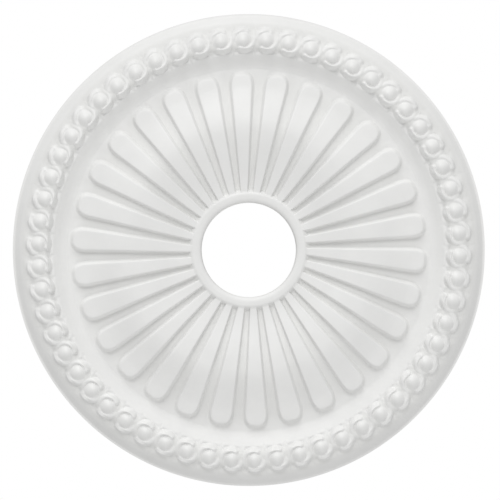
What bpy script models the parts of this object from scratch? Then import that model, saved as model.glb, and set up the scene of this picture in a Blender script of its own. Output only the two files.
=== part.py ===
"""A ceiling rose: one moulded disc that is fixed flat to a ceiling and seen from below.

The back lies on the ceiling plane, z = 0, and the carved face looks down. Thirty round-ended
ribs fan out from a bead round the centre hole, over a broad swell, to a smooth cove. The rim
beyond the cove carries a running scroll: a row of round bosses, with an S-shaped ribbon between
each two that passes inside the one and outside the next. Outside it the rim falls to a thin lip.
"""
import math

import bmesh
import bpy
import numpy as np
from mathutils import Matrix

# Driving dimensions in metres. A depth is measured down from the ceiling plane.
OUTER_RADIUS = 0.381
HOLE_RADIUS = 0.0762
BODY_STEPS = 60

# The bead round the hole.
BEAD_RADIUS = 0.0862
BEAD_DEPTH = 0.0322
BEAD_HEIGHT = 0.0050
BEAD_STEPS = 3
BEAD_FOOT_RADIUS = 0.0985

# The floor of the ribbed field: a low ring, a broad swell and a valley.
INNER_LOW_RADIUS = 0.0995
INNER_LOW_DEPTH = 0.0250
CREST_RADIUS = 0.192
CREST_DEPTH = 0.0390
VALLEY_RADIUS = 0.292
VALLEY_DEPTH = 0.0134
FIELD_SKEW = 0.90
FIELD_STEPS = 4

# The ribs: wedges with drafted sides and a half-round outer end, which stand proud of that floor.
RIBS = 30
RIB_RELIEF = 0.0063
RIB_START_RADIUS = 0.0890
RIB_ROUND_RADIUS = 0.2670
RIB_START_HALF_WIDTH = 0.0060
RIB_END_HALF_WIDTH = 0.0167
RIB_DRAFT = 0.225
RIB_SINK = 0.0015
RIB_START_TOP_DEPTH = 0.0305
RIB_PIVOT_RADIUS = 0.210
RIB_TURN = math.radians(1.4)
RIB_INNER_STEPS = 2
RIB_OUTER_STEPS = 3
RIB_END_STEPS = 4

# The rim's section from the cove outwards, as radius and depth: a bed for the scroll and a slope.
BED = (
    (0.3136, 0.0238),
    (0.3280, 0.0314),
    (0.3430, 0.0302),
    (0.3661, 0.0160),
)
COVE_STEPS = 2
BAND_RADIUS = 0.3742
BAND_DEPTH = 0.0072
LIP_DEPTH = 0.0040

# The scroll on the rim: round bosses and the S-shaped ribbons between them.
BOSSES = 58
BOSS_PHASE = math.radians(4.61)
BOSS_ROW_RADIUS = 0.3348
BOSS_RADIUS = 0.0086
BOSS_TOP_RADIUS = 0.0042
BOSS_DEPTH = 0.0372
BOSS_ROOT = 0.0030
BOSS_SIDES = 6
RIBBON_ARC_RADIUS = 0.0154
RIBBON_ARC_ANGLES = (-105.0, -32.0)
RIBBON_HALF_WIDTH = 0.0036
RIBBON_LIFT = 0.0008
RIBBON_TIP = 0.65

COLOUR = (0.80, 0.80, 0.79, 1.0)
ROUGHNESS = 0.55
MERGE_DISTANCE = 0.00001
SMOOTH_ANGLE = math.radians(30.0)


def ease(start, end, share):
    """Return the value a share of the way from start to end, level at both."""
    return start + (end - start) * (1.0 - math.cos(math.pi * share)) / 2.0


def field_depth(radius):
    """Return the depth of the ribbed field's floor at a radius."""
    if radius <= CREST_RADIUS:
        share = max(radius - INNER_LOW_RADIUS, 0.0) / (CREST_RADIUS - INNER_LOW_RADIUS)
        return ease(INNER_LOW_DEPTH, CREST_DEPTH, share ** FIELD_SKEW)
    share = min((radius - CREST_RADIUS) / (VALLEY_RADIUS - CREST_RADIUS), 1.0)
    return ease(CREST_DEPTH, VALLEY_DEPTH, share ** FIELD_SKEW)


def bed_depth(radius):
    """Return the depth of the scroll's bed at a radius."""
    return float(np.interp(radius, [point[0] for point in BED], [point[1] for point in BED]))


def field_profile():
    """Return the ribbed field's section, from the valley inwards."""
    outward = VALLEY_RADIUS - CREST_RADIUS
    inward = CREST_RADIUS - INNER_LOW_RADIUS
    radii = [VALLEY_RADIUS - outward * step / FIELD_STEPS for step in range(FIELD_STEPS)]
    radii += [CREST_RADIUS - inward * step / FIELD_STEPS for step in range(FIELD_STEPS)]
    return [(radius, field_depth(radius)) for radius in radii]


def bead_profile():
    """Return the bead's rounded section, from its outer side to the hole."""
    half_width = BEAD_RADIUS - HOLE_RADIUS
    points = []
    for step in range(BEAD_STEPS + 1):
        angle = math.pi * step / BEAD_STEPS
        radius = BEAD_RADIUS + half_width * math.cos(angle)
        points.append((radius, BEAD_DEPTH - BEAD_HEIGHT * (1.0 - math.sin(angle))))
    return points


def cove_profile():
    """Return the cove's section, from the scroll's bed in to the valley, without its ends."""
    bed_radius, depth = BED[0]
    run = bed_radius - VALLEY_RADIUS
    rise = depth - VALLEY_DEPTH
    points = []
    for step in range(COVE_STEPS - 1, 0, -1):
        share = step / COVE_STEPS
        points.append((VALLEY_RADIUS + run * share, VALLEY_DEPTH + rise * share ** 2))
    return points


def body_profile():
    """Return the disc's section as (radius, depth), down its outer edge and in over its face."""
    rim = [(OUTER_RADIUS, 0.0), (OUTER_RADIUS, LIP_DEPTH), (BAND_RADIUS, BAND_DEPTH)]
    centre = [(BEAD_FOOT_RADIUS, INNER_LOW_DEPTH)] + bead_profile() + [(HOLE_RADIUS, 0.0)]
    return rim + list(reversed(BED)) + cove_profile() + field_profile() + centre


def link(obj, collection):
    """Put an object in a collection and return it."""
    collection.objects.link(obj)
    return obj


def turned_solid(name, profile, steps, collection):
    """Return a solid turned round the z axis from a closed section."""
    bm = bmesh.new()
    ring = [bm.verts.new((radius, 0.0, -depth)) for radius, depth in profile]
    for first, second in zip(ring, ring[1:] + ring[:1]):
        bm.edges.new((first, second))
    mesh = bpy.data.meshes.new(name)
    bm.to_mesh(mesh)
    bm.free()
    obj = link(bpy.data.objects.new(name, mesh), collection)
    screw = obj.modifiers.new("turned", "SCREW")
    screw.steps = steps
    screw.render_steps = steps
    screw.use_merge_vertices = True
    screw.merge_threshold = MERGE_DISTANCE
    return obj


def join_to(target, operand):
    """Add a Boolean union with an operand, which is then only a guide."""
    operand.hide_render = True
    operand.display_type = "WIRE"
    modifier = target.modifiers.new(operand.name, "BOOLEAN")
    modifier.operation = "UNION"
    modifier.solver = "EXACT"
    modifier.object = operand


def rib_half_width(radius):
    """Return half the rib's width at half its height, which grows evenly with the radius."""
    share = (radius - RIB_START_RADIUS) / (RIB_ROUND_RADIUS - RIB_START_RADIUS)
    return RIB_START_HALF_WIDTH + (RIB_END_HALF_WIDTH - RIB_START_HALF_WIDTH) * share


def rib_plan(spread):
    """Return one rib's outline along +X, its width spread by a factor: two sides and a round end."""
    inner = CREST_RADIUS - RIB_START_RADIUS
    outer = RIB_ROUND_RADIUS - CREST_RADIUS
    radii = [RIB_START_RADIUS + inner * step / RIB_INNER_STEPS for step in range(RIB_INNER_STEPS)]
    radii += [CREST_RADIUS + outer * step / RIB_OUTER_STEPS for step in range(RIB_OUTER_STEPS)]
    side = [(radius, rib_half_width(radius) * spread) for radius in radii]
    end_radius = RIB_END_HALF_WIDTH * spread
    end = []
    for step in range(RIB_END_STEPS + 1):
        angle = math.pi / 2.0 - math.pi * step / RIB_END_STEPS
        end.append((RIB_ROUND_RADIUS + end_radius * math.cos(angle), end_radius * math.sin(angle)))
    plan = side + end + [(x, -y) for x, y in reversed(side)]
    return [(x, y + (x - RIB_PIVOT_RADIUS) * math.tan(RIB_TURN)) for x, y in plan]


def rib_top_depth(radius):
    """Return the depth of a rib's top, which dips a little to meet the bead."""
    depth = field_depth(radius) + RIB_RELIEF
    return min(depth, RIB_START_TOP_DEPTH) if radius < INNER_LOW_RADIUS else depth


def add_rib(bm, turn):
    """Add one rib: its foot and top outlines joined by drafted walls, and closed by strips."""
    rings = []
    for spread, top in ((1.0 + RIB_DRAFT, False), (1.0 - RIB_DRAFT, True)):
        ring = []
        for x, y in rib_plan(spread):
            radius = math.hypot(x, y)
            depth = rib_top_depth(radius) if top else field_depth(radius) - RIB_SINK
            ring.append(bm.verts.new(turn @ Matrix.Translation((x, y, -depth)).translation))
        rings.append(ring)
    foot, crown = rings
    count = len(foot)
    for index in range(count):
        after = (index + 1) % count
        bm.faces.new((foot[index], foot[after], crown[after], crown[index]))
    for ring in rings:
        for index in range(count // 2 - 1):
            corners = (ring[index], ring[index + 1], ring[-2 - index], ring[-1 - index])
            bm.faces.new(corners)
        if count % 2:
            bm.faces.new(ring[count // 2 - 1:count // 2 + 2])


def make_ribs(collection):
    """Return all the ribs as one object of separate lofts."""
    bm = bmesh.new()
    for index in range(RIBS):
        add_rib(bm, Matrix.Rotation(2.0 * math.pi * index / RIBS, 4, "Z"))
    bmesh.ops.triangulate(bm, faces=bm.faces)
    bmesh.ops.recalc_face_normals(bm, faces=bm.faces)
    mesh = bpy.data.meshes.new("ribs")
    bm.to_mesh(mesh)
    bm.free()
    return link(bpy.data.objects.new("ribs", mesh), collection)


def make_bosses(collection):
    """Return the row of round bosses, on the crest of the rim."""
    bm = bmesh.new()
    root = bed_depth(BOSS_ROW_RADIUS) - BOSS_ROOT
    for index in range(BOSSES):
        turn = Matrix.Rotation(BOSS_PHASE + 2.0 * math.pi * index / BOSSES, 4, "Z")
        place = turn @ Matrix.Translation((BOSS_ROW_RADIUS, 0.0, -(root + BOSS_DEPTH) / 2.0))
        bmesh.ops.create_cone(
            bm, cap_ends=True, segments=BOSS_SIDES, radius1=BOSS_TOP_RADIUS,
            radius2=BOSS_RADIUS, depth=BOSS_DEPTH - root, matrix=place,
        )
    mesh = bpy.data.meshes.new("bosses")
    bm.to_mesh(mesh)
    bm.free()
    return link(bpy.data.objects.new("bosses", mesh), collection)


def ribbon_path():
    """Return one ribbon's middle line as (angle from its first boss, radius) points."""
    pitch = 2.0 * math.pi / BOSSES
    inner = []
    for degrees in RIBBON_ARC_ANGLES:
        angle = math.radians(degrees)
        along = RIBBON_ARC_RADIUS * math.cos(angle) / BOSS_ROW_RADIUS
        inner.append((along, BOSS_ROW_RADIUS + RIBBON_ARC_RADIUS * math.sin(angle)))
    outer = [(pitch - along, 2.0 * BOSS_ROW_RADIUS - radius) for along, radius in reversed(inner)]
    return inner + outer


def make_ribbons(collection):
    """Return the S-shaped ribbons: four-sided tubes half sunk in the rim, with thinner tips."""
    curve = bpy.data.curves.new("ribbon_lines", "CURVE")
    curve.dimensions = "3D"
    curve.bevel_depth = RIBBON_HALF_WIDTH
    curve.bevel_resolution = 0
    curve.use_fill_caps = True
    path = ribbon_path()
    for index in range(BOSSES):
        start = BOSS_PHASE + 2.0 * math.pi * index / BOSSES
        spline = curve.splines.new("POLY")
        spline.points.add(len(path) - 1)
        for point, (along, radius) in zip(spline.points, path):
            angle = start + along
            depth = bed_depth(radius) + RIBBON_LIFT
            point.co = (radius * math.cos(angle), radius * math.sin(angle), -depth, 1.0)
        spline.points[0].radius = RIBBON_TIP
        spline.points[-1].radius = RIBBON_TIP
    lines = link(bpy.data.objects.new("ribbon_lines", curve), collection)
    bpy.context.view_layer.update()
    evaluated = lines.evaluated_get(bpy.context.evaluated_depsgraph_get())
    mesh = bpy.data.meshes.new_from_object(evaluated)
    bm = bmesh.new()
    bm.from_mesh(mesh)
    bmesh.ops.remove_doubles(bm, verts=bm.verts, dist=MERGE_DISTANCE)
    bm.to_mesh(mesh)
    bm.free()
    ribbons = link(bpy.data.objects.new("ribbons", mesh), collection)
    ribbons.matrix_world = lines.matrix_world
    bpy.data.objects.remove(lines)
    return ribbons


def make_material():
    """Return the white moulded finish."""
    material = bpy.data.materials.new("white_moulding")
    material.use_nodes = True
    shader = material.node_tree.nodes["Principled BSDF"]
    shader.inputs["Base Color"].default_value = COLOUR
    shader.inputs["Roughness"].default_value = ROUGHNESS
    shader.inputs["Metallic"].default_value = 0.0
    return material


def main():
    """Build the rose."""
    for obj in list(bpy.data.objects):
        bpy.data.objects.remove(obj, do_unlink=True)
    parts = bpy.data.collections.new("ceiling_rose")
    cutters = bpy.data.collections.new("cutters")
    bpy.context.scene.collection.children.link(parts)
    bpy.context.scene.collection.children.link(cutters)
    rose = turned_solid("ceiling_rose", body_profile(), BODY_STEPS, parts)
    for maker in (make_ribs, make_bosses, make_ribbons):
        join_to(rose, maker(cutters))
    rose.data.materials.append(make_material())
    rose.data.shade_smooth()
    rose.data.set_sharp_from_angle(angle=SMOOTH_ANGLE)


main()
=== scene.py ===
"""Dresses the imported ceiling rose: its ribbed swell, scrolled rim, finish and studio."""

from __future__ import annotations

import logging
import math
from collections.abc import Callable
from dataclasses import dataclass, field
from enum import Enum

import bmesh
import bpy
import numpy as np
from mathutils import Matrix, Vector

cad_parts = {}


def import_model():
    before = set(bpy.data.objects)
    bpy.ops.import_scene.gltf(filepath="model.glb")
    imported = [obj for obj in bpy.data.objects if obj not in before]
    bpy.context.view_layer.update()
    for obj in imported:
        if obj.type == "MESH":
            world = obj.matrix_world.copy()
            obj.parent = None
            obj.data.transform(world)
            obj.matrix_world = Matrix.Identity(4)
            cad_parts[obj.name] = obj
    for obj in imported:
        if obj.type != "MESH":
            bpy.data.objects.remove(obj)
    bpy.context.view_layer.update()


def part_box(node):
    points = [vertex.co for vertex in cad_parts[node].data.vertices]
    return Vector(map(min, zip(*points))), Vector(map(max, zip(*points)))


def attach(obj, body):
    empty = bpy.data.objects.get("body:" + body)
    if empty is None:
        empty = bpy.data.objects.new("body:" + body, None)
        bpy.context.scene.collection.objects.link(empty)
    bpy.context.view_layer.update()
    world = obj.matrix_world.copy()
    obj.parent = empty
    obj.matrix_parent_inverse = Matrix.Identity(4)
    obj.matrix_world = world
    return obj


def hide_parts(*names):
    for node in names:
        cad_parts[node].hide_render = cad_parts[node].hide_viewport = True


LOG = logging.getLogger("ceiling_rose")
CAD_NODE = "ceiling_rose"
BODY = "root"
SLOT = "white_moulding"
# The two point attributes that the finish reads; the groove one sets the painted shade and extra
# roughness down the grooves.
GROOVE = "groove"
BACK = "back"
# How far the ribs' crest stays inside the solid's box.
CLEARANCE = 0.00001
# The disc's radius over the hole's.
HOLE_RATIO = 5
# Keeps a divisor off zero.
TINY = 1e-6
# How far apart two angles may be and still count as the same.
SAME_ANGLE = 1e-9
WHITE = (1.0, 1.0, 1.0, 1.0)

Link = Callable[[bpy.types.NodeSocket, bpy.types.NodeSocket], bpy.types.NodeLink]


class Side(Enum):
    """Which side of the rose a vertex of a tile belongs to."""

    FACE = 0.0
    BACK = 1.0


def soft_step(share: np.ndarray, foot: float, top: float) -> np.ndarray:
    """Ramps from 0 to 1 with both corners rounded, as a moulded wall does.

    Args:
        share: Place on the wall, 0 at its foot and 1 at its top edge.
        foot: Half-length of the rounding at the foot, as a share of the wall.
        top: Half-length of the rounding at the top edge.

    Returns:
        The height as a share of the wall's full height.
    """
    low = (share + foot) ** 2 / (4 * foot)
    high = 1 - (1 + top - share) ** 2 / (4 * top)
    height = np.where(share < foot, low, share)
    height = np.where(share > 1 - top, high, height)
    height = np.where(share < -foot, 0.0, height)
    return np.where(share > 1 + top, 1.0, height)


def soft_max(first: np.ndarray, second: np.ndarray, blend: float) -> np.ndarray:
    """Takes the greater of two heights, with a fillet where they meet.

    Args:
        first: One height, in metres.
        second: The other height, in metres.
        blend: Height over which the two run into each other.

    Returns:
        The joined height.
    """
    overlap = np.maximum(blend - np.abs(first - second), 0.0)
    return np.maximum(first, second) + overlap**2 / (4 * blend)


def ease(share: np.ndarray) -> np.ndarray:
    """Returns a cosine ease from 0 to 1, with shares outside held at the ends."""
    return (1 - np.cos(math.pi * np.clip(share, 0.0, 1.0))) / 2


@dataclass(frozen=True)
class SmoothLine:
    """A smooth line through a few stations, which never overshoots them."""

    stations: tuple[tuple[float, float], ...]

    def at(self, place: np.ndarray) -> np.ndarray:
        """Reads the line at any places.

        Args:
            place: Where to read it; places beyond the ends read the end's value.

        Returns:
            The line's value at each place.
        """
        x, y = (np.array(column) for column in zip(*self.stations))
        gap = np.diff(x)
        rise = np.diff(y) / gap
        same_way = rise[:-1] * rise[1:] > 0
        weights = (2 * gap[1:] + gap[:-1], gap[1:] + 2 * gap[:-1])
        safe = np.where(same_way, rise[:-1], 1.0), np.where(same_way, rise[1:], 1.0)
        mean = (weights[0] + weights[1]) / (weights[0] / safe[0] + weights[1] / safe[1])
        slope = np.concatenate(([0.0], np.where(same_way, mean, 0.0), [rise[-1]]))
        held = np.clip(place, x[0], x[-1])
        i = np.clip(np.searchsorted(x, held, side="right") - 1, 0, len(gap) - 1)
        t = (held - x[i]) / gap[i]
        start = (1 + 2 * t) * (1 - t) ** 2 * y[i] + t * (1 - t) ** 2 * gap[i] * slope[i]
        end = t**2 * (3 - 2 * t) * y[i + 1] + t**2 * (t - 1) * gap[i] * slope[i + 1]
        return start + end


@dataclass
class Tile:
    """One repeat of a ring: points by angle, radius and depth, and the faces between them."""

    name: str
    angles: list[float] = field(default_factory=list)
    radii: list[float] = field(default_factory=list)
    depths: list[float] = field(default_factory=list)
    grooves: list[float] = field(default_factory=list)
    backs: list[float] = field(default_factory=list)
    faces: list[list[int]] = field(default_factory=list)

    def add(
        self,
        angle: np.ndarray,
        radius: np.ndarray,
        depth: np.ndarray,
        groove: np.ndarray | float = 0.0,
        side: Side = Side.FACE,
    ) -> np.ndarray:
        """Adds points to the tile.

        Args:
            angle: Angle of each point round the rose, in radians.
            radius: Radius of each point.
            depth: How far each point hangs below the ceiling.
            groove: How far down a groove each point lies, from 0 to 1.
            side: The side of the rose that the points are on.

        Returns:
            The numbers of the new points, in the shape of the inputs.
        """
        angle, radius, depth, groove = np.broadcast_arrays(angle, radius, depth, groove)
        first = len(self.angles)
        for values, new in (
            (self.angles, angle),
            (self.radii, radius),
            (self.depths, depth),
            (self.grooves, groove),
            (self.backs, np.full(angle.shape, side.value)),
        ):
            values.extend(new.ravel().tolist())
        return np.arange(first, len(self.angles)).reshape(angle.shape)

    def sheet(self, numbers: np.ndarray, closed: bool = False) -> None:
        """Fills a grid of points with four-sided faces.

        Args:
            numbers: The points' numbers, row by row.
            closed: Whether each row's last point joins its first.
        """
        rows = np.hstack((numbers, numbers[:, :1])) if closed else numbers
        corners = (rows[:-1, :-1], rows[:-1, 1:], rows[1:, 1:], rows[1:, :-1])
        self.faces.extend(np.stack([c.ravel() for c in corners], axis=1).tolist())

    def build(self) -> bpy.types.Object:
        """Makes the tile a mesh object, with its two attributes.

        Returns:
            The tile's object, linked to the scene.
        """
        angle, radius = np.array(self.angles), np.array(self.radii)
        places = np.stack(
            (radius * np.cos(angle), radius * np.sin(angle), -np.array(self.depths)),
            axis=1,
        )
        mesh = bpy.data.meshes.new(self.name)
        mesh.from_pydata(places.tolist(), [], self.faces)
        for name, values in ((GROOVE, self.grooves), (BACK, self.backs)):
            layer = mesh.attributes.new(name, "FLOAT", "POINT")
            layer.data.foreach_set("value", values)
        tile = bpy.data.objects.new(self.name, mesh)
        bpy.context.scene.collection.objects.link(tile)
        return tile


@dataclass(frozen=True)
class RingTree:
    """Geometry nodes that set copies of a tile round the rose's axis and weld them to one ring."""

    crease: float = math.radians(52)
    weld: float = 0.00002

    def build(self) -> bpy.types.GeometryNodeTree:
        """Builds the node tree.

        Returns:
            The tree, with the inputs Tile, Copies, Turn, Weld, Crease and Finish.
        """
        tree = bpy.data.node_groups.new("ring_of_tiles", "GeometryNodeTree")
        for name, kind, way in (
            ("Tile", "NodeSocketGeometry", "INPUT"),
            ("Copies", "NodeSocketInt", "INPUT"),
            ("Turn", "NodeSocketFloat", "INPUT"),
            ("Weld", "NodeSocketFloat", "INPUT"),
            ("Crease", "NodeSocketFloat", "INPUT"),
            ("Finish", "NodeSocketMaterial", "INPUT"),
            ("Ring", "NodeSocketGeometry", "OUTPUT"),
        ):
            tree.interface.new_socket(name=name, in_out=way, socket_type=kind)
        nodes, link = tree.nodes, tree.links.new
        given = nodes.new("NodeGroupInput")
        points = nodes.new("GeometryNodePoints")
        link(given.outputs["Copies"], points.inputs["Count"])
        index = nodes.new("GeometryNodeInputIndex")
        angle = nodes.new("ShaderNodeMath")
        angle.operation = "MULTIPLY"
        link(index.outputs["Index"], angle.inputs[0])
        link(given.outputs["Turn"], angle.inputs[1])
        turn = nodes.new("ShaderNodeCombineXYZ")
        link(angle.outputs["Value"], turn.inputs["Z"])
        spread = nodes.new("GeometryNodeInstanceOnPoints")
        link(points.outputs["Points"], spread.inputs["Points"])
        link(given.outputs["Tile"], spread.inputs["Instance"])
        link(turn.outputs["Vector"], spread.inputs["Rotation"])
        real = nodes.new("GeometryNodeRealizeInstances")
        link(spread.outputs["Instances"], real.inputs["Geometry"])
        weld = nodes.new("GeometryNodeMergeByDistance")
        link(real.outputs["Geometry"], weld.inputs["Geometry"])
        link(given.outputs["Weld"], weld.inputs["Distance"])
        smooth = nodes.new("GeometryNodeSetShadeSmooth")
        link(weld.outputs["Geometry"], smooth.inputs["Geometry"])
        corner = nodes.new("GeometryNodeInputMeshEdgeAngle")
        sharp = nodes.new("FunctionNodeCompare")
        sharp.operation = "GREATER_THAN"
        link(corner.outputs["Unsigned Angle"], sharp.inputs["A"])
        link(given.outputs["Crease"], sharp.inputs["B"])
        edges = nodes.new("GeometryNodeSetShadeSmooth")
        edges.domain = "EDGE"
        edges.inputs["Shade Smooth"].default_value = False
        link(smooth.outputs["Geometry"], edges.inputs["Geometry"])
        link(sharp.outputs["Result"], edges.inputs["Selection"])
        dress = nodes.new("GeometryNodeSetMaterial")
        link(edges.outputs["Geometry"], dress.inputs["Geometry"])
        link(given.outputs["Finish"], dress.inputs["Material"])
        result = nodes.new("NodeGroupOutput")
        link(dress.outputs["Geometry"], result.inputs["Ring"])
        return tree

    def repeat(
        self,
        tile: bpy.types.Object,
        tree: bpy.types.GeometryNodeTree,
        copies: int,
        finish: bpy.types.Material,
    ) -> bpy.types.Object:
        """Turns a tile into a whole ring of plain mesh.

        Args:
            tile: The tile's object, which is used up.
            tree: The tree that build() made.
            copies: How many tiles go round.
            finish: The material of the ring.

        Returns:
            The ring's object, with no modifier left on it.
        """
        modifier = tile.modifiers.new("ring", "NODES")
        modifier.node_group = tree
        values = {
            "Copies": copies,
            "Turn": 2 * math.pi / copies,
            "Weld": self.weld,
            "Crease": self.crease,
            "Finish": finish,
        }
        for socket in tree.interface.items_tree:
            if socket.name in values:
                modifier[socket.identifier] = values[socket.name]
        graph = bpy.context.evaluated_depsgraph_get()
        mesh = bpy.data.meshes.new_from_object(
            tile.evaluated_get(graph), preserve_all_data_layers=True, depsgraph=graph
        )
        tile.modifiers.remove(modifier)
        name, flat = tile.name, tile.data
        bpy.data.objects.remove(tile)
        bpy.data.meshes.remove(flat)
        mesh.name = name
        face_outwards(mesh)
        ring = bpy.data.objects.new(name, mesh)
        bpy.context.scene.collection.objects.link(ring)
        return ring


def face_outwards(mesh: bpy.types.Mesh) -> None:
    """Turns every face of a closed mesh outwards, and reports its triangles and open edges.

    Args:
        mesh: The mesh to turn.
    """
    work = bmesh.new()
    work.from_mesh(mesh)
    bmesh.ops.recalc_face_normals(work, faces=work.faces)
    if work.calc_volume(signed=True) < 0:
        bmesh.ops.reverse_faces(work, faces=work.faces)
    open_edges = sum(not edge.is_manifold for edge in work.edges)
    work.to_mesh(mesh)
    work.free()
    LOG.info("%s: %d triangles, %d open edges", mesh.name, triangles(mesh), open_edges)


def triangles(mesh: bpy.types.Mesh) -> int:
    """Counts the triangles that a mesh's faces make."""
    return sum(len(face.vertices) - 2 for face in mesh.polygons)


@dataclass(frozen=True)
class MouldedWhite:
    """White primed moulding: smooth and matt, with painted shade darkening its grooves, and a
    little duller on the back.
    """

    name: str = SLOT
    colour: tuple[float, float, float] = (0.80, 0.80, 0.79)
    # Painted shade: the darker colour that the grooves are tinted towards, standing in for the
    # shade that falls in them.
    painted_groove_shade: tuple[float, float, float] = (0.755, 0.755, 0.742)
    back_colour: tuple[float, float, float] = (0.77, 0.765, 0.735)
    roughness: float = 0.52
    groove_roughness: float = 0.66
    specular: float = 0.35
    mottle_scale: float = 26.0
    mottle_detail: float = 4.0
    mottle_span: tuple[float, float] = (0.3, 0.7)
    mottle: float = 0.018
    skin_scale: float = 620.0
    skin_detail: float = 3.0
    skin_height: float = 0.00006
    wave_scale: float = 70.0
    wave_detail: float = 2.0
    wave_height: float = 0.00022

    def build(self) -> bpy.types.Material:
        """Builds the node material.

        Returns:
            The material, which reads Object coordinates and the groove and back attributes.
        """
        made = bpy.data.materials.new(self.name)
        made.use_nodes = True
        nodes, link = made.node_tree.nodes, made.node_tree.links.new
        nodes.clear()
        place = nodes.new("ShaderNodeTexCoord").outputs["Object"]
        groove = self.attribute(nodes, GROOVE)
        back = self.attribute(nodes, BACK)
        mottle = self.noise(nodes, link, place, self.mottle_scale, self.mottle_detail)
        skin = self.noise(nodes, link, place, self.skin_scale, self.skin_detail)
        wave = self.noise(nodes, link, place, self.wave_scale, self.wave_detail)

        # Painted shade: the colour darkens towards the foot of each groove, by the groove
        # attribute.
        tint = self.mix(nodes, link, groove, self.colour, self.painted_groove_shade)
        tint = self.mix(nodes, link, back, tint, self.back_colour)
        shade = nodes.new("ShaderNodeMapRange")
        shade.inputs["From Min"].default_value = self.mottle_span[0]
        shade.inputs["From Max"].default_value = self.mottle_span[1]
        shade.inputs["To Min"].default_value = 1 - self.mottle
        shade.inputs["To Max"].default_value = 1 + self.mottle
        link(mottle, shade.inputs["Value"])
        colour = nodes.new("ShaderNodeVectorMath")
        colour.operation = "SCALE"
        link(tint, colour.inputs["Vector"])
        link(shade.outputs["Result"], colour.inputs["Scale"])

        rough = nodes.new("ShaderNodeMapRange")
        rough.inputs["To Min"].default_value = self.roughness
        rough.inputs["To Max"].default_value = self.groove_roughness
        link(groove, rough.inputs["Value"])

        fine = nodes.new("ShaderNodeBump")
        fine.inputs["Distance"].default_value = self.skin_height
        link(skin, fine.inputs["Height"])
        slow = nodes.new("ShaderNodeBump")
        slow.inputs["Distance"].default_value = self.wave_height
        link(wave, slow.inputs["Height"])
        link(fine.outputs["Normal"], slow.inputs["Normal"])

        shader = nodes.new("ShaderNodeBsdfPrincipled")
        shader.inputs["Specular IOR Level"].default_value = self.specular
        link(colour.outputs["Vector"], shader.inputs["Base Color"])
        link(rough.outputs["Result"], shader.inputs["Roughness"])
        link(slow.outputs["Normal"], shader.inputs["Normal"])
        result = nodes.new("ShaderNodeOutputMaterial")
        link(shader.outputs["BSDF"], result.inputs["Surface"])
        return made

    @staticmethod
    def attribute(nodes: bpy.types.Nodes, name: str) -> bpy.types.NodeSocket:
        """Adds a node that reads a float attribute.

        Args:
            nodes: The material's nodes.
            name: The attribute's name.

        Returns:
            The output that gives the attribute's value.
        """
        reader = nodes.new("ShaderNodeAttribute")
        reader.attribute_name = name
        return reader.outputs["Fac"]

    @staticmethod
    def noise(
        nodes: bpy.types.Nodes,
        link: Link,
        place: bpy.types.NodeSocket,
        scale: float,
        detail: float,
    ) -> bpy.types.NodeSocket:
        """Adds a noise texture.

        Args:
            nodes: The material's nodes.
            link: The function that links two sockets.
            place: The coordinates to read.
            scale: The noise's scale, in repeats a metre.
            detail: How many finer layers it has.

        Returns:
            The noise's value output.
        """
        texture = nodes.new("ShaderNodeTexNoise")
        texture.inputs["Scale"].default_value = scale
        texture.inputs["Detail"].default_value = detail
        link(place, texture.inputs["Vector"])
        return texture.outputs["Fac"]

    @staticmethod
    def mix(
        nodes: bpy.types.Nodes,
        link: Link,
        share: bpy.types.NodeSocket,
        first: bpy.types.NodeSocket | tuple[float, float, float],
        second: tuple[float, float, float],
    ) -> bpy.types.NodeSocket:
        """Mixes two colours by a share.

        Args:
            nodes: The material's nodes.
            link: The function that links two sockets.
            share: The second colour's share.
            first: The first colour, or the output that gives it.
            second: The second colour.

        Returns:
            The mixed colour's output.
        """
        mixer = nodes.new("ShaderNodeMix")
        mixer.data_type = "RGBA"
        link(share, mixer.inputs["Factor"])
        if isinstance(first, tuple):
            mixer.inputs["A"].default_value = (*first, 1.0)
        else:
            link(first, mixer.inputs["A"])
        mixer.inputs["B"].default_value = (*second, 1.0)
        return mixer.outputs["Result"]


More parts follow.
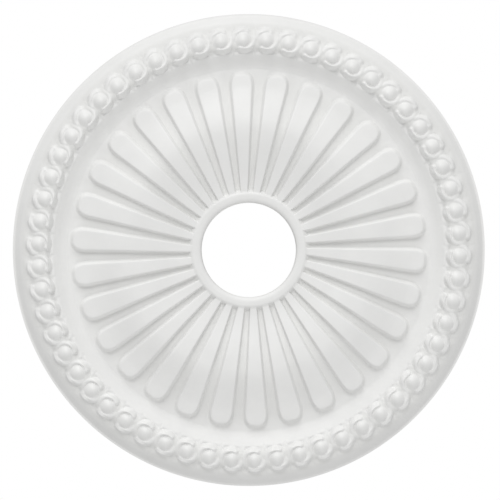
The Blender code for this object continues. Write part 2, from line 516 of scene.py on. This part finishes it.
@dataclass
class RibbedField:
    """The broad swell from the hole to the valley, with its bead and its round-ended ribs."""

    hole_radius: float
    deepest: float
    # The channels' floor: the valley, the crest and the low ring beside the bead.
    valley_radius: float = 0.292
    valley_depth: float = 0.0134
    crest_radius: float = 0.192
    low_radius: float = 0.0995
    low_depth: float = 0.0246
    skew: float = 0.90
    # The bead round the hole.
    bead_edge_depth: float = 0.0290
    bead_depth: float = 0.0322
    bead_radius: float = 0.0842
    bead_flat_radius: float = 0.0892
    bead_foot_radius: float = 0.0985
    bead_blend: float = 0.0012
    lip_power: float = 2.4
    # The ribs. Each share is of the distance from a rib's middle to the channel's middle.
    ribs: int = 30
    rib_turn: float = math.radians(1.4)
    rib_pivot_radius: float = 0.210
    rib_round_radius: float = 0.2615
    rib_tip_radius: float = 0.2844
    rib_squareness: float = 2.9
    rib_share: SmoothLine = SmoothLine(
        (
            (0.0760, 0.56),
            (0.1145, 0.62),
            (0.1780, 0.64),
            (0.2600, 0.66),
        )
    )
    rib_rise_line: SmoothLine = SmoothLine(
        (
            (0.0760, 0.0050),
            (0.1000, 0.0058),
            (0.1145, 0.0065),
            (0.1780, 0.0080),
            (0.2575, 0.0085),
            (0.2740, 0.0093),
            (0.2920, 0.0093),
        )
    )
    rib_crown: float = 0.00025
    wall_share: float = 0.072
    end_wall_gain: float = 0.50
    wall_top: float = 0.40
    wall_foot: float = 0.45
    # How far up from a channel's floor the painted groove shade and extra roughness reach.
    groove_reach: float = 0.0028
    # Where the points lie: across a rib's top, down its wall and in the channel.
    crown_columns: tuple[float, ...] = (0.0, 0.34, 0.64, 0.86)
    wall_columns: tuple[float, ...] = (
        1.40, 1.18, 1.02, 0.86, 0.70, 0.54, 0.38, 0.22, 0.04, -0.16, -0.45,
    )
    channel_columns: tuple[float, ...] = (1.0,)
    column_gap: float = 0.014
    bead_rows: int = 12
    rib_rows: int = 66
    corner_rays: int = 7
    side_rays: int = 6

    def floor(self, radius: np.ndarray) -> np.ndarray:
        """Works out how deep the floor of the channels hangs, from the low ring over the crest.

        Args:
            radius: Radius of each place.

        Returns:
            The floor's depth, which is greatest at the crest and least at the valley.
        """
        crest_depth = self.deepest - float(self.rib_rise_line.at(self.crest_radius))
        inner = (radius - self.low_radius) / (self.crest_radius - self.low_radius)
        outer = (radius - self.crest_radius) / (self.valley_radius - self.crest_radius)
        rise = ease(np.clip(inner, 0, 1) ** self.skew) * (crest_depth - self.low_depth)
        fall = ease(np.clip(outer, 0, 1) ** self.skew) * (crest_depth - self.valley_depth)
        return self.low_depth + rise - fall

    def bead(self, radius: np.ndarray) -> np.ndarray:
        """Works out how deep the bead round the hole hangs.

        Args:
            radius: Radius of each place.

        Returns:
            The bead's depth, which is less than the floor's outside the bead's foot.
        """
        inner = (self.bead_radius - radius) / (self.bead_radius - self.hole_radius)
        outer = (radius - self.bead_flat_radius) / (self.bead_foot_radius - self.bead_flat_radius)
        lip = (self.bead_depth - self.bead_edge_depth) * np.clip(inner, 0, 1) ** self.lip_power
        wall = (self.bead_depth - self.low_depth + self.bead_blend) * ease(outer)
        return self.bead_depth - lip - wall

    def axis_angle(self, radius: np.ndarray) -> np.ndarray:
        """Returns the angle of a rib's middle line, which runs a little aslant."""
        return (radius - self.rib_pivot_radius) * math.tan(self.rib_turn) / radius

    def columns(
        self, width: np.ndarray, reach: np.ndarray, wall: np.ndarray
    ) -> tuple[np.ndarray, np.ndarray]:
        """Places the points from a rib's middle out to the middle of the channel.

        Args:
            width: Distance from the rib's middle to the middle of its wall.
            reach: Distance from the rib's middle to the channel's middle.
            wall: Half the wall's width in plan.

        Returns:
            The distance from the rib's middle and the place up the wall, one row for each width.
        """
        width, reach, wall = (v[:, None] for v in np.broadcast_arrays(width, reach, wall))
        places = np.array(self.wall_columns)
        side = width + wall * (1 - 2 * places)
        order = np.arange(len(places), 0, -1)
        side = np.minimum(side, reach * (1 - self.column_gap * order))
        crown = side[:, :1] * np.array(self.crown_columns)
        channel = side[:, -1:] + (reach - side[:, -1:]) * np.array(self.channel_columns)
        distance = np.hstack((crown, side, channel))
        return distance, (width + wall - distance) / (2 * wall)

    def depth(
        self, radius: np.ndarray, distance: np.ndarray, place: np.ndarray, reach: np.ndarray
    ) -> tuple[np.ndarray, np.ndarray]:
        """Works out how deep the moulding hangs.

        Args:
            radius: Radius of each point.
            distance: Distance of each point from its rib's middle.
            place: Place of each point up the rib's wall, 0 at the foot and 1 at the top edge.
            reach: Distance from the rib's middle to the channel's middle.

        Returns:
            The depth, and how far down a groove each point lies.
        """
        crown = self.rib_crown * np.clip(distance / np.maximum(reach, TINY), 0, 1) ** 2
        born = ease((radius - self.bead_radius) / (self.bead_flat_radius - self.bead_radius))
        step = soft_step(place, self.wall_foot, self.wall_top)
        rib = self.rib_rise_line.at(radius) * step * born - crown
        moulded = self.floor(radius) + rib
        # The groove share, which the finish turns into painted shade and extra roughness at the
        # channels' foot.
        groove = np.clip(1 - rib / self.groove_reach, 0, 1)
        fade = ease((self.valley_radius - radius) / (self.valley_radius - self.rib_round_radius))
        near = radius < self.bead_foot_radius + self.bead_blend
        joined = soft_max(moulded, self.bead(radius), self.bead_blend)
        depth = np.where(near, joined, moulded)
        hidden = np.clip((depth - moulded) / self.bead_blend, 0, 1)
        return depth, groove * fade * (1 - hidden)

    def tile(self) -> Tile:
        """Lays out one rib with half a channel on each side.

        Returns:
            The tile, closed at the hole and at the valley, with its flat back.
        """
        tile = Tile("ribbed_field")
        half = math.pi / self.ribs
        bead_radii = np.linspace(self.hole_radius, self.bead_foot_radius, self.bead_rows + 1)
        rib_radii = np.linspace(self.bead_foot_radius, self.rib_round_radius, self.rib_rows + 1)
        radii = np.concatenate((bead_radii[:-1], rib_radii))
        reach = radii * half
        width = self.rib_share.at(radii) * reach
        distance, place = self.columns(width, reach, self.wall_share * reach)
        wide = radii[:, None] + 0 * distance
        depth, groove = self.depth(wide, distance, place, reach[:, None])
        middle = self.axis_angle(wide)
        right = tile.add(middle + distance / wide, wide, depth, groove)
        left = tile.add(
            (middle - distance / wide)[:, 1:], wide[:, 1:], depth[:, 1:], groove[:, 1:]
        )
        strip = np.hstack((left[:, ::-1], right))
        tile.sheet(strip)
        rim = self.round_end(tile, strip[-1])
        self.close(tile, strip[0], rim)
        return tile

    def round_end(self, tile: Tile, last: np.ndarray) -> np.ndarray:
        """Fans the points round a rib's outer end, out to the valley.

        Args:
            tile: The tile to add to.
            last: The numbers of the strip's last row, from side to side.

        Returns:
            The numbers of the points on the valley circle, from side to side.
        """
        half = math.pi / self.ribs
        run = self.valley_radius - self.rib_round_radius
        corner = math.atan2(self.valley_radius * half, run)
        outer = np.linspace(0, corner, self.corner_rays + 1)
        side = np.linspace(corner, math.pi / 2, self.side_rays + 1)[1:-1]
        turns = np.concatenate((-side[::-1], -outer[:0:-1], outer, side))
        sine, cosine = np.abs(np.sin(turns)), np.cos(turns)
        across = self.rib_round_radius * half / np.maximum(sine - half * cosine, TINY)
        on_valley = np.abs(turns) <= corner + SAME_ANGLE
        reach = np.where(on_valley, run / cosine, across)
        side_reach = self.rib_round_radius * half
        side_width = float(self.rib_share.at(self.rib_round_radius)) * side_reach
        end_width = self.rib_tip_radius - self.rib_round_radius
        power = self.rib_squareness
        width = ((sine / side_width) ** power + (cosine / end_width) ** power) ** (-1 / power)
        gain = 1 + self.end_wall_gain * np.clip(cosine, 0, 1) ** 2
        distance, place = self.columns(width, reach, self.wall_share * side_reach * gain)
        distance, place = distance[:, 1:], place[:, 1:]
        radius = self.rib_round_radius + distance * cosine[:, None]
        depth, groove = self.depth(radius, distance, place, reach[:, None])
        angle = self.axis_angle(radius) + distance * np.sin(turns)[:, None] / radius
        rays = tile.add(angle, radius, depth, groove)
        centre = len(last) // 2
        rays = np.vstack((last[:centre][::-1], rays, last[centre + 1 :]))
        tile.sheet(rays)
        pole = last[centre]
        tile.faces.extend([int(pole), int(a), int(b)] for a, b in zip(rays[:-1, 0], rays[1:, 0]))
        return rays[1:-1][on_valley, -1]

    def close(self, tile: Tile, hole: np.ndarray, rim: np.ndarray) -> None:
        """Adds the hole's wall, the hidden wall at the valley and the back.

        Args:
            tile: The tile to add to.
            hole: The numbers of the points on the hole's edge.
            rim: The numbers of the points on the valley circle.
        """
        angles, radii = np.array(tile.angles), np.array(tile.radii)
        hole_back = tile.add(angles[hole], radii[hole], 0.0, 0.0, Side.BACK)
        rim_back = tile.add(angles[rim], radii[rim], 0.0, 0.0, Side.BACK)
        tile.sheet(np.vstack((hole_back, hole)))
        tile.sheet(np.vstack((rim, rim_back)))
        tile.faces.append([*hole_back[::-1].tolist(), *rim_back.tolist()])

    def build(
        self, ring: RingTree, tree: bpy.types.GeometryNodeTree, finish: bpy.types.Material
    ) -> bpy.types.Object:
        """Builds the whole field and fixes it to the rose.

        Args:
            ring: What repeats the tile.
            tree: The tree that ring built.
            finish: The field's material.

        Returns:
            The finished piece.
        """
        return dress(ring.repeat(self.tile().build(), tree, self.ribs, finish))


@dataclass
class ScrollRim:
    """The cove, the running scroll of bosses and S-shaped ribbons, and the sloping border."""

    outer_radius: float
    valley_radius: float
    # The row of cells that the scroll is laid out in, and the reach of the painted shade in its
    # grooves.
    bosses: int = 58
    phase: float = math.radians(4.61)
    row_radius: float = 0.3348
    field_inner_radius: float = 0.3100
    field_outer_radius: float = 0.3672
    crease_radius: float = 0.3175
    crease_fade: float = 0.004
    border_fade: float = 0.006
    groove_reach: float = 0.0016
    # The boss, which is wider on its outer side.
    boss_place: tuple[float, float] = (-0.0005, 0.0002)
    boss_reach: float = 0.0118
    boss_inner_reach: float = 0.0120
    boss_outer_reach: float = 0.0168
    boss_rise: float = 0.0070
    boss_fullness: float = 2.0
    boss_limit: float = 2.0
    boss_fillet: float = 0.0034
    # The ribbon's middle line: two arcs, in degrees round their own boss and round the next.
    inner_arc: tuple[float, float] = (-115.6, 19.7)
    inner_arc_radius: float = 0.0155
    inner_arc_place: tuple[float, float] = (0.0008, 0.0005)
    outer_arc: tuple[float, float] = (171.6, 67.3)
    outer_arc_radius: float = 0.0161
    outer_arc_place: tuple[float, float] = (0.0001, 0.0018)
    arc_points: int = 22
    neighbours: int = 2
    # The ribbon's section.
    wall: float = 0.0033
    rounding: float = 0.42
    ribbon_crown: float = 0.12
    fillet: float = 0.0007
    # The turned moulding under the scroll, as radius and depth: cove, crease, bed, groove, border.
    section: SmoothLine = SmoothLine(
        (
            (0.2920, 0.0134),
            (0.2999, 0.0159),
            (0.3095, 0.0219),
            (0.3146, 0.0250),
            (0.3172, 0.0246),
            (0.3192, 0.0251),
            (0.3204, 0.0270),
            (0.3217, 0.0286),
            (0.3280, 0.0306),
            (0.3444, 0.0277),
            (0.3468, 0.0268),
            (0.3518, 0.0224),
            (0.3590, 0.0213),
            (0.3615, 0.0199),
            (0.3661, 0.0165),
            (0.3739, 0.0084),
            (0.3784, 0.0041),
            (0.3810, 0.0036),
        )
    )
    # Half the ribbon's width and its height, from its start at 0 to its end at 1.
    ribbon_width: SmoothLine = SmoothLine(
        (
            (0.0, 0.0024),
            (0.15, 0.0020),
            (0.35, 0.0017),
            (0.5, 0.0016),
            (0.65, 0.0022),
            (0.85, 0.0025),
            (1.0, 0.0022),
        )
    )
    ribbon_rise: SmoothLine = SmoothLine(
        (
            (0.0, 0.0052),
            (0.15, 0.0072),
            (0.35, 0.0020),
            (0.5, 0.0012),
            (0.65, 0.0021),
            (0.85, 0.0068),
            (1.0, 0.0048),
        )
    )
    # The rings and rays of points round a boss, and the rows of the plain moulding.
    rings: tuple[float, ...] = (
        0.0018, 0.0036, 0.0052, 0.0066, 0.0078, 0.0088, 0.0096, 0.0104, 0.0112, 0.0120, 0.0129,
        0.0138, 0.0147, 0.0156, 0.0165, 0.0174, 0.0183, 0.0192, 0.0200, 0.0208, 0.0216, 0.0225,
    )
    outer_rings: int = 4
    round_reach: float = 0.0104
    ring_share: float = 0.93
    side_rays: int = 14
    top_rays: int = 10
    low_rays: int = 10
    cove_rows: int = 9
    edge_rows: int = 12

    @property
    def half_length(self) -> float:
        """Half the distance from one boss to the next along the row."""
        return math.pi * self.row_radius / self.bosses

    def ribbon_path(self) -> np.ndarray:
        """Draws the middle line of one ribbon, from under its own boss to over the next.

        Returns:
            Points along and across the row, measured from the ribbon's own boss.
        """
        low = np.radians(np.linspace(*self.inner_arc, self.arc_points))
        high = np.radians(np.linspace(*self.outer_arc, self.arc_points))
        under = self.inner_arc_radius * np.stack((np.cos(low), np.sin(low)), axis=1)
        over = self.outer_arc_radius * np.stack((np.cos(high), np.sin(high)), axis=1)
        over[:, 0] += 2 * self.half_length
        return np.vstack((under + self.inner_arc_place, over + self.outer_arc_place))

    def ribbons(self, x: np.ndarray, y: np.ndarray) -> np.ndarray:
        """Works out how far the ribbons stand above the bed.

        Args:
            x: Places along the row, from the tile's boss.
            y: Places across the row, outwards.

        Returns:
            The ribbons' height at each place.
        """
        path = self.ribbon_path()
        heights = []
        for shift in range(-self.neighbours, self.neighbours + 1):
            gap, way = self.nearest(path, x - shift * 2 * self.half_length, y)
            width = self.ribbon_width.at(way)
            place = 1 + (width - gap) / self.wall
            crown = 1 - self.ribbon_crown * np.clip(gap / (width + self.wall), 0, 1) ** 2
            ramp = soft_step(place, self.rounding, self.rounding)
            heights.append(self.ribbon_rise.at(way) * ramp * crown - self.fillet * (1 - ramp))
        joined = heights[0]
        for height in heights[1:]:
            joined = soft_max(joined, height, self.fillet)
        return joined

    @staticmethod
    def nearest(
        path: np.ndarray, x: np.ndarray, y: np.ndarray
    ) -> tuple[np.ndarray, np.ndarray]:
        """Finds the nearest point of a ribbon's middle line.

        Args:
            path: Points along the middle line.
            x: Places along the row, from the ribbon's own boss.
            y: Places across the row, outwards.

        Returns:
            The distance to the line, and how far along it the nearest point is, from 0 to 1.
        """
        step = np.diff(path, axis=0)
        length = np.hypot(*step.T)
        start = np.concatenate(([0.0], np.cumsum(length)[:-1]))
        best = np.full(x.shape, np.inf)
        along = np.zeros_like(x)
        for (ax, ay), (dx, dy), run, before in zip(path[:-1], step, length, start):
            t = np.clip(((x - ax) * dx + (y - ay) * dy) / run**2, 0, 1)
            gap = np.hypot(x - ax - t * dx, y - ay - t * dy)
            closer = gap < best
            best = np.where(closer, gap, best)
            along = np.where(closer, before + t * run, along)
        return best, along / length.sum()

    def boss(self, x: np.ndarray, y: np.ndarray) -> np.ndarray:
        """Works out how far the domed boss stands above the bed.

        Args:
            x: Places along the row, from the tile's boss.
            y: Places across the row, outwards.

        Returns:
            The dome's height at each place, which is below the bed outside the dome's edge.
        """
        along = (x - self.boss_place[0]) / self.boss_reach
        outwards = y - self.boss_place[1]
        across = outwards / np.where(outwards < 0, self.boss_inner_reach, self.boss_outer_reach)
        share = np.minimum(np.hypot(along, across), self.boss_limit)
        return self.boss_rise * (1 - share**self.boss_fullness)

    def relief(self, x: np.ndarray, y: np.ndarray) -> tuple[np.ndarray, np.ndarray]:
        """Works out the scroll's depth.

        Args:
            x: Places along the row, from the tile's boss.
            y: Places across the row, outwards.

        Returns:
            The depth, and how far down a groove each place lies.
        """
        joined = soft_max(self.ribbons(x, y), self.boss(x, y), self.boss_fillet)
        raised = np.maximum(joined, 0.0)
        inward = (self.row_radius + y - self.crease_radius) / self.crease_fade
        outward = (self.field_outer_radius - self.row_radius - y) / self.border_fade
        inside = ease(inward) * ease(outward)
        # The groove share, which the finish turns into painted shade and extra roughness round the
        # ribbons and boss.
        groove = np.clip(1 - raised / self.groove_reach, 0, 1) * inside
        return self.section.at(self.row_radius + y) + raised, groove

    def frame_rays(self) -> tuple[np.ndarray, np.ndarray]:
        """Sets out the rays from a boss to the edge of its cell.

        Returns:
            Each ray's angle and its length to the edge, from the cell's lower right corner round.
        """
        top = self.field_outer_radius - self.row_radius
        low = self.field_inner_radius - self.row_radius
        side = self.half_length
        upper, lower = math.atan2(top, side), math.atan2(low, side)
        spans = (
            (lower, upper, self.side_rays),
            (upper, math.pi - upper, self.top_rays),
            (math.pi - upper, math.pi - lower, self.side_rays),
            (math.pi - lower, 2 * math.pi + lower, self.low_rays),
        )
        angles = np.concatenate([np.linspace(a, b, n + 1)[:-1] for a, b, n in spans])
        cosine, sine = np.cos(angles), np.sin(angles)
        across = side / np.maximum(np.abs(cosine), TINY)
        along = np.where(sine > 0, top, -low) / np.maximum(np.abs(sine), TINY)
        return angles, np.minimum(across, along)

    def tile(self) -> Tile:
        """Lays out one boss with its share of the scroll, the cove, the edge and the back.

        Returns:
            The tile, closed at the valley and at the outer edge.
        """
        tile = Tile("scroll_rim")
        angles, reach = self.frame_rays()
        rings = np.array(self.rings)
        last = np.minimum(rings[-1], self.ring_share * reach)
        start = self.round_reach
        squeeze = (last - start) / (rings[-1] - start)
        inner = np.where(rings < start, rings, start + (rings - start) * squeeze[:, None])
        shares = np.arange(1, self.outer_rings + 1) / self.outer_rings
        outer = last[:, None] + (reach - last)[:, None] * shares
        distance = np.hstack((inner, outer)).T
        x, y = distance * np.cos(angles), distance * np.sin(angles)
        depth, groove = self.relief(x, y)
        web = tile.add(self.angle_of(x), self.row_radius + y, depth, groove)
        tile.sheet(web, closed=True)
        zero = np.zeros(1)
        pole_depth, _ = self.relief(zero, zero)
        pole = int(tile.add(zero + self.phase, zero + self.row_radius, pole_depth)[0])
        ring = [*web[0].tolist(), int(web[0, 0])]
        tile.faces.extend([pole, a, b] for a, b in zip(ring[:-1], ring[1:]))
        edge = web[-1]
        corner = self.side_rays
        top = edge[corner : corner + self.top_rays + 1]
        low_start = 2 * self.side_rays + self.top_rays
        low = np.concatenate((edge[low_start:], edge[:1]))
        valley = self.plain_rows(tile, low, self.valley_radius, self.cove_rows)
        lip = self.plain_rows(tile, top, self.outer_radius, self.edge_rows)
        self.close(tile, valley, lip[::-1])
        return tile

    def angle_of(self, x: np.ndarray) -> np.ndarray:
        """Returns the angle round the rose of a place along the row."""
        return self.phase + x / self.row_radius

    def plain_rows(self, tile: Tile, edge: np.ndarray, last: float, count: int) -> np.ndarray:
        """Carries an edge of the scroll on over plain turned moulding.

        Args:
            tile: The tile to add to.
            edge: The numbers of the points to start from.
            last: The radius of the last new row.
            count: How many rows to add.

        Returns:
            The numbers of the last row.
        """
        angles = np.array(tile.angles)[edge]
        radii = np.linspace(tile.radii[int(edge[0])], last, count + 1)[1:]
        wide = np.broadcast_to(radii[:, None], (count, len(edge)))
        rows = tile.add(angles[None, :], wide, self.section.at(wide))
        tile.sheet(np.vstack((edge[None, :], rows)))
        return rows[-1]

    def close(self, tile: Tile, valley: np.ndarray, lip: np.ndarray) -> None:
        """Adds the hidden wall at the valley, the outer edge and the back.

        Args:
            tile: The tile to add to.
            valley: The numbers of the points on the valley circle, from side to side.
            lip: The numbers of the points on the lip, from side to side.
        """
        angles, radii = np.array(tile.angles), np.array(tile.radii)
        inner = tile.add(angles[valley], radii[valley], 0.0, 0.0, Side.BACK)
        outer = tile.add(angles[lip], radii[lip], 0.0, 0.0, Side.BACK)
        tile.sheet(np.vstack((valley, inner)))
        tile.sheet(np.vstack((lip, outer)))
        tile.faces.append([*inner.tolist(), *outer[::-1].tolist()])

    def build(
        self, ring: RingTree, tree: bpy.types.GeometryNodeTree, finish: bpy.types.Material
    ) -> bpy.types.Object:
        """Builds the whole rim and fixes it to the rose.

        Args:
            ring: What repeats the tile.
            tree: The tree that ring built.
            finish: The rim's material.

        Returns:
            The finished piece.
        """
        return dress(ring.repeat(self.tile().build(), tree, self.bosses, finish))


@dataclass(frozen=True)
class SoftSun:
    """A broad far light, placed by the directions of the camera's picture."""

    name: str
    bearing: float
    height: float
    strength: float
    softness: float = math.radians(20)

    def towards(self, up: Vector) -> Vector:
        """Works out where the light is.

        Args:
            up: The level direction that is upwards in the picture.

        Returns:
            The direction from the rose to the light. The bearing runs clockwise from the picture's
            top, and the height is the angle towards the camera.
        """
        right = Vector((0, 0, 1)).cross(up)
        level = math.cos(self.bearing) * up + math.sin(self.bearing) * right
        return math.cos(self.height) * level - math.sin(self.height) * Vector((0, 0, 1))


@dataclass
class Studio:
    """The plain floor, the soft lights and the camera that looks straight up at the rose."""

    top_angle: float = math.radians(-93.26)
    camera_distance: float = 2.246
    lens: float = 100.0
    sensor: float = 36.0
    shift: float = 0.0024
    suns: tuple[SoftSun, ...] = (
        SoftSun("key_light", math.radians(-9), math.radians(45), 1.16),
        SoftSun("low_key_light", math.radians(-9), math.radians(26), 0.37),
        SoftSun("grazing_key_light", math.radians(-9), math.radians(10), 0.41),
        SoftSun("foot_light", math.radians(171), math.radians(45), 0.51),
        SoftSun("low_foot_light", math.radians(171), math.radians(10), 0.30),
        SoftSun("side_light", math.radians(81), math.radians(26), 0.09),
        SoftSun("back_light", math.radians(130), math.radians(-55), 0.50, math.radians(50)),
    )
    sky_strength: float = 0.48
    backdrop_strength: float = 1.0
    floor_drop: float = 3.4
    floor_size: float = 14.0
    floor_colour: tuple[float, float, float] = (0.82, 0.82, 0.82)
    floor_roughness: float = 0.9

    @property
    def picture_top(self) -> Vector:
        """The level direction that is upwards in the camera's picture."""
        return Vector((math.cos(self.top_angle), math.sin(self.top_angle), 0.0))

    def build(self) -> None:
        """Builds the whole studio."""
        self.add_floor()
        self.add_world()
        for sun in self.suns:
            self.add_sun(sun)
        self.add_camera()
        bpy.context.scene.view_settings.view_transform = "Standard"

    def add_floor(self) -> None:
        """Lays a plain pale floor far below the rose."""
        half = self.floor_size / 2
        corners = [(-half, -half), (half, -half), (half, half), (-half, half)]
        mesh = bpy.data.meshes.new("floor")
        mesh.from_pydata([(x, y, -self.floor_drop) for x, y in corners], [], [(0, 1, 2, 3)])
        paint = bpy.data.materials.new("floor")
        paint.use_nodes = True
        shader = paint.node_tree.nodes["Principled BSDF"]
        shader.inputs["Base Color"].default_value = (*self.floor_colour, 1.0)
        shader.inputs["Roughness"].default_value = self.floor_roughness
        mesh.materials.append(paint)
        floor = bpy.data.objects.new("floor", mesh)
        floor.visible_shadow = False
        floor.visible_diffuse = False
        floor.visible_glossy = False
        bpy.context.scene.collection.objects.link(floor)

    def add_world(self) -> None:
        """Makes the surroundings white in the picture, and a dimmer even light for the rose."""
        world = bpy.data.worlds.new("studio")
        bpy.context.scene.world = world
        world.use_nodes = True
        nodes, link = world.node_tree.nodes, world.node_tree.links.new
        nodes.clear()
        seen = nodes.new("ShaderNodeLightPath")
        backdrop = nodes.new("ShaderNodeBackground")
        backdrop.inputs["Strength"].default_value = self.backdrop_strength
        backdrop.inputs["Color"].default_value = WHITE
        sky = nodes.new("ShaderNodeBackground")
        sky.inputs["Strength"].default_value = self.sky_strength
        sky.inputs["Color"].default_value = WHITE
        either = nodes.new("ShaderNodeMixShader")
        link(seen.outputs["Is Camera Ray"], either.inputs["Fac"])
        link(sky.outputs["Background"], either.inputs[1])
        link(backdrop.outputs["Background"], either.inputs[2])
        result = nodes.new("ShaderNodeOutputWorld")
        link(either.outputs["Shader"], result.inputs["Surface"])

    def add_sun(self, sun: SoftSun) -> None:
        """Adds one of the broad far lights.

        Args:
            sun: The light to add.
        """
        light = bpy.data.lights.new(sun.name, "SUN")
        light.energy = sun.strength
        light.angle = sun.softness
        lamp = bpy.data.objects.new(sun.name, light)
        lamp.rotation_euler = sun.towards(self.picture_top).to_track_quat("Z", "Y").to_euler()
        bpy.context.scene.collection.objects.link(lamp)

    def add_camera(self) -> None:
        """Sets the camera straight below the rose, turned as the photograph is."""
        data = bpy.data.cameras.new("camera")
        data.lens = self.lens
        data.sensor_width = self.sensor
        data.shift_x = self.shift
        camera = bpy.data.objects.new("camera", data)
        up = self.picture_top
        right = Vector((0, 0, 1)).cross(up)
        turn = Matrix((right, up, Vector((0, 0, -1)))).transposed()
        camera.matrix_world = Matrix.Translation((0, 0, -self.camera_distance)) @ turn.to_4x4()
        bpy.context.scene.collection.objects.link(camera)
        bpy.context.scene.camera = camera


def dress(piece: bpy.types.Object) -> bpy.types.Object:
    """Fixes a finished piece to the rose and hides the imported part.

    Args:
        piece: The piece, as plain mesh.

    Returns:
        The same piece.
    """
    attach(piece, BODY)
    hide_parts(CAD_NODE)
    return piece


def main() -> None:
    """Builds the rose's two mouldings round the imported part, and the studio."""
    logging.basicConfig(level=logging.INFO, format="%(name)s: %(message)s")
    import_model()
    low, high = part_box(CAD_NODE)
    outer_radius = (high.x - low.x) / 2
    deepest = -low.z - CLEARANCE
    finish = MouldedWhite().build()
    ring = RingTree()
    tree = ring.build()
    swell = RibbedField(hole_radius=outer_radius / HOLE_RATIO, deepest=deepest)
    rim = ScrollRim(outer_radius=outer_radius, valley_radius=swell.valley_radius)
    for moulding in (swell, rim):
        piece = moulding.build(ring, tree, finish)
        LOG.info("%s is in place", piece.name)
    Studio().build()


if __name__ == "__main__":
    main()
